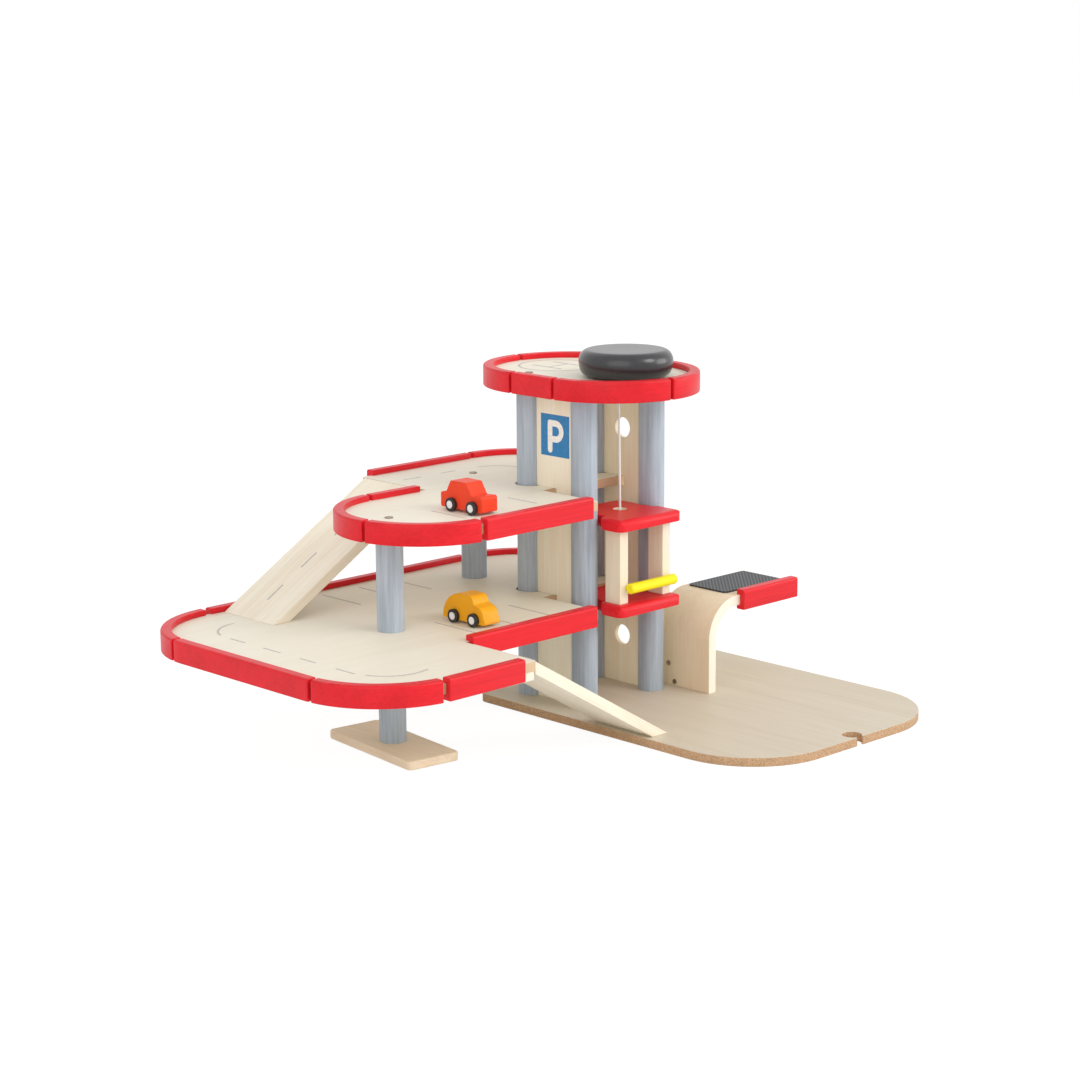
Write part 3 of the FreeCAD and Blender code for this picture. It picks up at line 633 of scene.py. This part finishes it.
LINE = 2.6
LOWER_BAYS = ((-190, 168, 235), (-136, 168, 235), (-83, 168, 235),
              (-187, -27, 46), (-131, -27, 46), (-75, -27, 46))
LOWER_LANE_X = -389
LOWER_LANE_DASHES = ((124, 150), (64, 93), (5, 31), (-57, -27))
LOWER_BENDS = (((-345, 157), 44, 90, 165), ((-341, -53), 46, 200, 292))
MIDDLE_BAYS = ((-186, -6, 50), (-77, -3, 44))
MIDDLE_LANE_DASHES = ((-89, -62), (-31, -8))
MIDDLE_BEND = ((20, 166), 40, 5, 80)
RAMP_DASH_LENGTH = 26.2
RAMP_DASH_STARTS = (33.0, 90.0, 147.5)
LANE_Y = 207.0
LANDING_CENTRE = (63, 107)
LANDING_RADIUS = 44
LETTER_LINE = LINE + 1
LETTER_UPRIGHTS = (46, 80)
LETTER_ENDS = (82, 130)
LETTER_CROSSBAR = ((48, 105), (78, 105))


def lower_lines(bm):
    for x, y0, y1 in LOWER_BAYS:
        bar(bm, (x, y0), (x, y1), LINE)
    for y0, y1 in LOWER_LANE_DASHES:
        bar(bm, (LOWER_LANE_X, y0), (LOWER_LANE_X, y1), LINE)
    for bend in LOWER_BENDS:
        arc(bm, *bend, LINE)


def middle_lines(bm):
    for x0, x1 in MIDDLE_LANE_DASHES:
        bar(bm, (x0, LANE_Y), (x1, LANE_Y), LINE)
    for x, y0, y1 in MIDDLE_BAYS:
        bar(bm, (x, y0), (x, y1), LINE)
    arc(bm, *MIDDLE_BEND, LINE)


def roof_lines(bm):
    """The landing circle and its letter."""
    for x in LETTER_UPRIGHTS:
        bar(bm, (x, LETTER_ENDS[0]), (x, LETTER_ENDS[1]), LETTER_LINE)
    bar(bm, *LETTER_CROSSBAR, LETTER_LINE)
    arc(bm, LANDING_CENTRE, LANDING_RADIUS, 0, 360, LINE, 64)


def ramp_dashes(bm):
    """Dashes up the middle of the ramp, measured along its slope from its foot."""
    for start in RAMP_DASH_STARTS:
        bar(bm, (start, 0), (start + RAMP_DASH_LENGTH, 0), LINE)


def on_ramp():
    """A local ground on the upper ramp, local X up its slope and the foot's middle as origin."""
    tilt = Matrix.Rotation(-RAMP_SLOPE, 4, "Y")
    return Matrix.Translation((RAMP_FOOT[0], LANE_Y * MM, RAMP_FOOT[2])) @ tilt


new_piece("lower_deck_lines", lower_lines, line_paint, "garage", on_level(LOWER_TOP))
new_piece("middle_deck_lines", middle_lines, line_paint, "garage", on_level(MIDDLE_TOP))
new_piece("roof_deck_lines", roof_lines, line_paint, "garage", on_level(ROOF_TOP))
new_piece("ramp_upper_lines", ramp_dashes, line_paint, "upper_ramp", on_ramp())


# The parking sign: a blue ground and a plain letter, measured from the ground's lower left corner

SIGN_LEFT_Y = 66.0 * MM
SIGN_LOW_Z = 296.0 * MM
SIGN_WIDTH = 45.5
SIGN_HEIGHT = 48.0
STEM_LEFT = 11.1
STEM_WIDTH = 7.4
STEM_LOW = 3.7
LETTER_TOP = 41.5
LETTER_CORNER = 3.0
BOWL_X = 23.8
BOWL_INNER = 5.5
BOWL_OUTER = 12.65


def sign_ground(bm):
    bar(bm, (0, SIGN_HEIGHT / 2), (SIGN_WIDTH, SIGN_HEIGHT / 2), SIGN_HEIGHT)


def sign_letter(bm):
    """Strokes that only touch, so that nothing lies twice on the same plane."""
    stroke = BOWL_OUTER - BOWL_INNER
    bowl_y = LETTER_TOP - BOWL_OUTER
    bowl_radius = (BOWL_OUTER + BOWL_INNER) / 2
    stem_right = STEM_LEFT + STEM_WIDTH
    stem_x = STEM_LEFT + STEM_WIDTH / 2
    foot = STEM_LOW + STEM_WIDTH / 2
    corner_x = STEM_LEFT + LETTER_CORNER
    corner_y = LETTER_TOP - LETTER_CORNER
    cap_y = LETTER_TOP - LETTER_CORNER / 2
    arc(bm, (stem_x, foot), STEM_WIDTH / 4, 180, 360, STEM_WIDTH / 2)
    bar(bm, (stem_x, foot), (stem_x, corner_y), STEM_WIDTH)
    arc(bm, (corner_x, corner_y), LETTER_CORNER / 2, 90, 180, LETTER_CORNER)
    bar(bm, (corner_x, cap_y), (stem_right, cap_y), LETTER_CORNER)
    for y in (bowl_y + bowl_radius, bowl_y - bowl_radius):
        bar(bm, (stem_right, y), (BOWL_X, y), stroke)
    arc(bm, (BOWL_X, bowl_y), bowl_radius, -90, 90, stroke, 32)


new_piece("parking_sign_ground", sign_ground, blue_paint, "garage",
          facing_left(SIGN_FACE_X, SIGN_LEFT_Y, SIGN_LOW_Z))
new_piece("parking_sign_letter", sign_letter, white_paint, "garage",
          facing_left(SIGN_FACE_X - PAINT_LIFT, SIGN_LEFT_Y, SIGN_LOW_Z))


# White caps in the middle of the cars' wheels

HUB_RADIUS = 4.4
HUB_THICKNESS = 0.4


def hub_cap(bm):
    disc(bm, HUB_RADIUS, HUB_THICKNESS)


for car in ("red_car", "yellow_car"):
    for end in ("front", "rear"):
        low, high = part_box(f"{car}_{end}_wheels")
        y = (low[1] + high[1]) / 2
        z = (low[2] + high[2]) / 2
        body = f"{car}_{end}_wheels_set"
        new_piece(f"{car}_{end}_left_hub", hub_cap, white_hub, body, facing_left(low[0], y, z))
        new_piece(f"{car}_{end}_right_hub", hub_cap, white_hub, body, facing_right(high[0], y, z))


# The knob as turned wood: a flat top, a full rounded side and a foot drawn in

KNOB_AXIS_X = (KNOB_LOW[0] + KNOB_HIGH[0]) / 2
KNOB_AXIS_Y = (KNOB_LOW[1] + KNOB_HIGH[1]) / 2
KNOB_RADIUS = (KNOB_HIGH[0] - KNOB_LOW[0]) / 2 / MM
KNOB_TOP_RADIUS = 42.5
KNOB_TOP_HOLLOW = ((0, -0.6), (KNOB_TOP_RADIUS * 0.6, -0.25))
KNOB_FOOT_RADIUS = 46.0
KNOB_SHOULDER = 13.0
KNOB_FOOT_Z = (ROOF_TOP - KNOB_HIGH[2]) / MM + 3.0
KNOB_STEPS = 16


def knob_turning(bm):
    """Half the knob's outline, spun round its axis; the local ground is its top."""
    outline = list(KNOB_TOP_HOLLOW)
    for i in range(KNOB_STEPS + 1):
        turn = math.pi / 2 * i / KNOB_STEPS
        radius = KNOB_TOP_RADIUS + (KNOB_RADIUS - KNOB_TOP_RADIUS) * math.sin(turn)
        outline.append((radius, -KNOB_SHOULDER * (1 - math.cos(turn))))
    for i in range(1, KNOB_STEPS + 1):
        turn = math.pi / 2 * i / KNOB_STEPS
        radius = KNOB_FOOT_RADIUS + (KNOB_RADIUS - KNOB_FOOT_RADIUS) * math.cos(turn)
        outline.append((radius, -KNOB_SHOULDER + (KNOB_FOOT_Z + KNOB_SHOULDER) * math.sin(turn)))
    outline.append((0, KNOB_FOOT_Z))
    verts = [bm.verts.new((radius * MM, 0, z * MM)) for radius, z in outline]
    edges = [bm.edges.new(pair) for pair in zip(verts, verts[1:])]
    bmesh.ops.spin(bm, geom=verts + edges, cent=(0, 0, 0), axis=(0, 0, 1),
                   angle=math.tau, steps=96, use_merge=True)
    bmesh.ops.remove_doubles(bm, verts=bm.verts, dist=1e-6)
    for face in bm.faces:
        face.smooth = True


turned_knob = new_piece("lift_knob_turned", knob_turning, black_wood, "knob",
                        Matrix.Translation((KNOB_AXIS_X, KNOB_AXIS_Y, KNOB_HIGH[2])))
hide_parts("lift_knob")


# The lift's cord, from the knot under the cabin's roof up round the drum

KNOT_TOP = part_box("lift_roof")[0][2] - 0.3 * MM
KNOT_RADIUS = 3.5
KNOT_LENGTH = 5.0
KNOT_ROUNDING = 1.6 * MM
DRUM_X = 55 * MM
DRUM_Y = -12 * MM
WRAP_Z = ROOF_TOP + 1.5 * MM
WRAP_RADIUS = 12 * MM
WRAP_TURN = 200.0
WRAP_STEPS = 14
LEAN = 1.1 * MM


def cord_route():
    """From the knot under the cabin's roof up through the roof deck and round the drum."""
    points = [(CORD_X, CORD_Y, z) for z in (KNOT_TOP - 3 * MM, KNOT_TOP + 20 * MM)]
    points += [(CORD_X - LEAN, CORD_Y + LEAN, z) for z in (ROOF_TOP - 8 * MM, WRAP_Z)]
    for i in range(WRAP_STEPS + 1):
        turn = math.radians(90 + WRAP_TURN * i / WRAP_STEPS)
        points.append((DRUM_X + WRAP_RADIUS * math.cos(turn),
                       DRUM_Y + WRAP_RADIUS * math.sin(turn), WRAP_Z))
    return points


def add_cord():
    curve = bpy.data.curves.new("lift_cord_route", "CURVE")
    curve.dimensions = "3D"
    spline = curve.splines.new("NURBS")
    route = cord_route()
    spline.points.add(len(route) - 1)
    for point, place in zip(spline.points, route):
        point.co = (*place, 1)
    spline.order_u = 3
    spline.use_endpoint_u = True
    spline.resolution_u = 16
    curve.bevel_depth = CORD_RADIUS
    curve.bevel_resolution = 4
    curve.use_fill_caps = True
    holder = bpy.data.objects.new("lift_cord_route", curve)
    bpy.context.scene.collection.objects.link(holder)
    mesh = bpy.data.meshes.new_from_object(holder)
    bpy.data.objects.remove(holder)
    for face in mesh.polygons:
        face.use_smooth = True
    cord = bpy.data.objects.new("lift_cord_line", mesh)
    bpy.context.scene.collection.objects.link(cord)
    mesh.materials.clear()
    mesh.materials.append(white_cord)
    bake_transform(cord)
    return cord


def knot(bm):
    disc(bm, KNOT_RADIUS, KNOT_LENGTH)
    rim = [e for e in bm.edges if abs(e.verts[0].co.z - e.verts[1].co.z) < 1e-7]
    bmesh.ops.bevel(bm, geom=rim, offset=KNOT_ROUNDING, segments=4, affect="EDGES")


cord_line = add_cord()
new_piece("lift_cord_knot", knot, white_cord, "lift",
          Matrix.Translation((CORD_X, CORD_Y, KNOT_TOP - KNOT_LENGTH * MM)))
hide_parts("lift_cord")


# Camera, light and floor

CAMERA_PLACE = (-2.0200, -2.0123, 0.8220)
CAMERA_YAW = math.radians(45.898)
CAMERA_PITCH = math.radians(12.201)
CAMERA_ROLL = math.radians(-0.362)
CAMERA_LENS = 85.99
WORLD_LEVEL = 0.78
SUNS = (
    ("key", (0.30, -0.80, 0.55), 0.85, 25, (1.0, 0.99, 0.97)),
    ("side window", (0.78, -0.60, 0.16), 0.85, 35, (1.0, 1.0, 1.0)),
    ("fill", (-0.88, -0.42, 0.34), 0.65, 55, (1.0, 1.0, 1.0)),
)
FLOOR_REACH = 14
FLOOR_WHITE = (0.93, 0.93, 0.93, 1)
FLOOR_GLOW = 1.1
FLOOR_GLOW_SHARE = 0.82
FLOOR_DROP = 0.2 * MM


def add_camera():
    data = bpy.data.cameras.new("camera")
    data.sensor_width = 36.0
    data.lens = CAMERA_LENS
    data.clip_start = 0.05
    data.clip_end = 60.0
    camera = bpy.data.objects.new("camera", data)
    bpy.context.scene.collection.objects.link(camera)
    aim = Matrix.Rotation(CAMERA_YAW - math.pi / 2, 4, "Z")
    tilt = Matrix.Rotation(math.pi / 2 - CAMERA_PITCH, 4, "X")
    roll = Matrix.Rotation(CAMERA_ROLL, 4, "Z")
    camera.matrix_world = Matrix.Translation(CAMERA_PLACE) @ aim @ tilt @ roll
    bpy.context.scene.camera = camera


def add_sun(name, towards, strength, softness, colour):
    data = bpy.data.lights.new(name, "SUN")
    data.energy = strength
    data.angle = math.radians(softness)
    data.color = colour
    lamp = bpy.data.objects.new(name, data)
    bpy.context.scene.collection.objects.link(lamp)
    lamp.rotation_euler = Vector(towards).to_track_quat("Z", "Y").to_euler()


def add_world():
    """Plain soft light all round; what the camera and reflections see is white."""
    world = bpy.data.worlds.new("studio")
    bpy.context.scene.world = world
    world.use_nodes = True
    wiring = Wiring(world.node_tree)
    background = world.node_tree.nodes["Background"]
    background.inputs["Color"].default_value = (1, 1, 1, 1)
    rays = wiring.new("ShaderNodeLightPath").outputs
    seen = wiring.combine("MAXIMUM", rays["Is Camera Ray"], rays["Is Transmission Ray"])
    seen = wiring.combine("MAXIMUM", seen, rays["Is Glossy Ray"])
    level = wiring.map_range(seen, 0.0, 1.0, WORLD_LEVEL, 1.0)
    wiring.link(level, background.inputs["Strength"])


def add_floor():
    """A plain white floor that keeps the shadows, paler to the camera."""
    bm = bmesh.new()
    bmesh.ops.create_grid(bm, x_segments=1, y_segments=1, size=FLOOR_REACH)
    mesh = bpy.data.meshes.new("floor")
    bm.to_mesh(mesh)
    bm.free()
    floor = bpy.data.objects.new("floor", mesh)
    bpy.context.scene.collection.objects.link(floor)
    finish = Finish("studio floor")
    finish.set(Base_Color=FLOOR_WHITE, Roughness=0.9, Specular_IOR_Level=0.0)
    glow = finish.new("ShaderNodeEmission", Strength=FLOOR_GLOW)
    rays = finish.new("ShaderNodeLightPath")
    share = finish.map_range(rays.outputs["Is Camera Ray"], 0.0, 1.0, 0.0, FLOOR_GLOW_SHARE)
    blend = finish.new("ShaderNodeMixShader")
    finish.link(share, blend.inputs["Fac"])
    finish.link(finish.shader.outputs["BSDF"], blend.inputs[1])
    finish.link(glow.outputs["Emission"], blend.inputs[2])
    finish.link(blend.outputs["Shader"], finish.tree.nodes["Material Output"].inputs["Surface"])
    mesh.materials.append(finish.material)
    floor.location.z = -FLOOR_DROP


add_camera()
add_world()
for sun in SUNS:
    add_sun(*sun)
add_floor()
bpy.context.scene.view_settings.view_transform = "Standard"
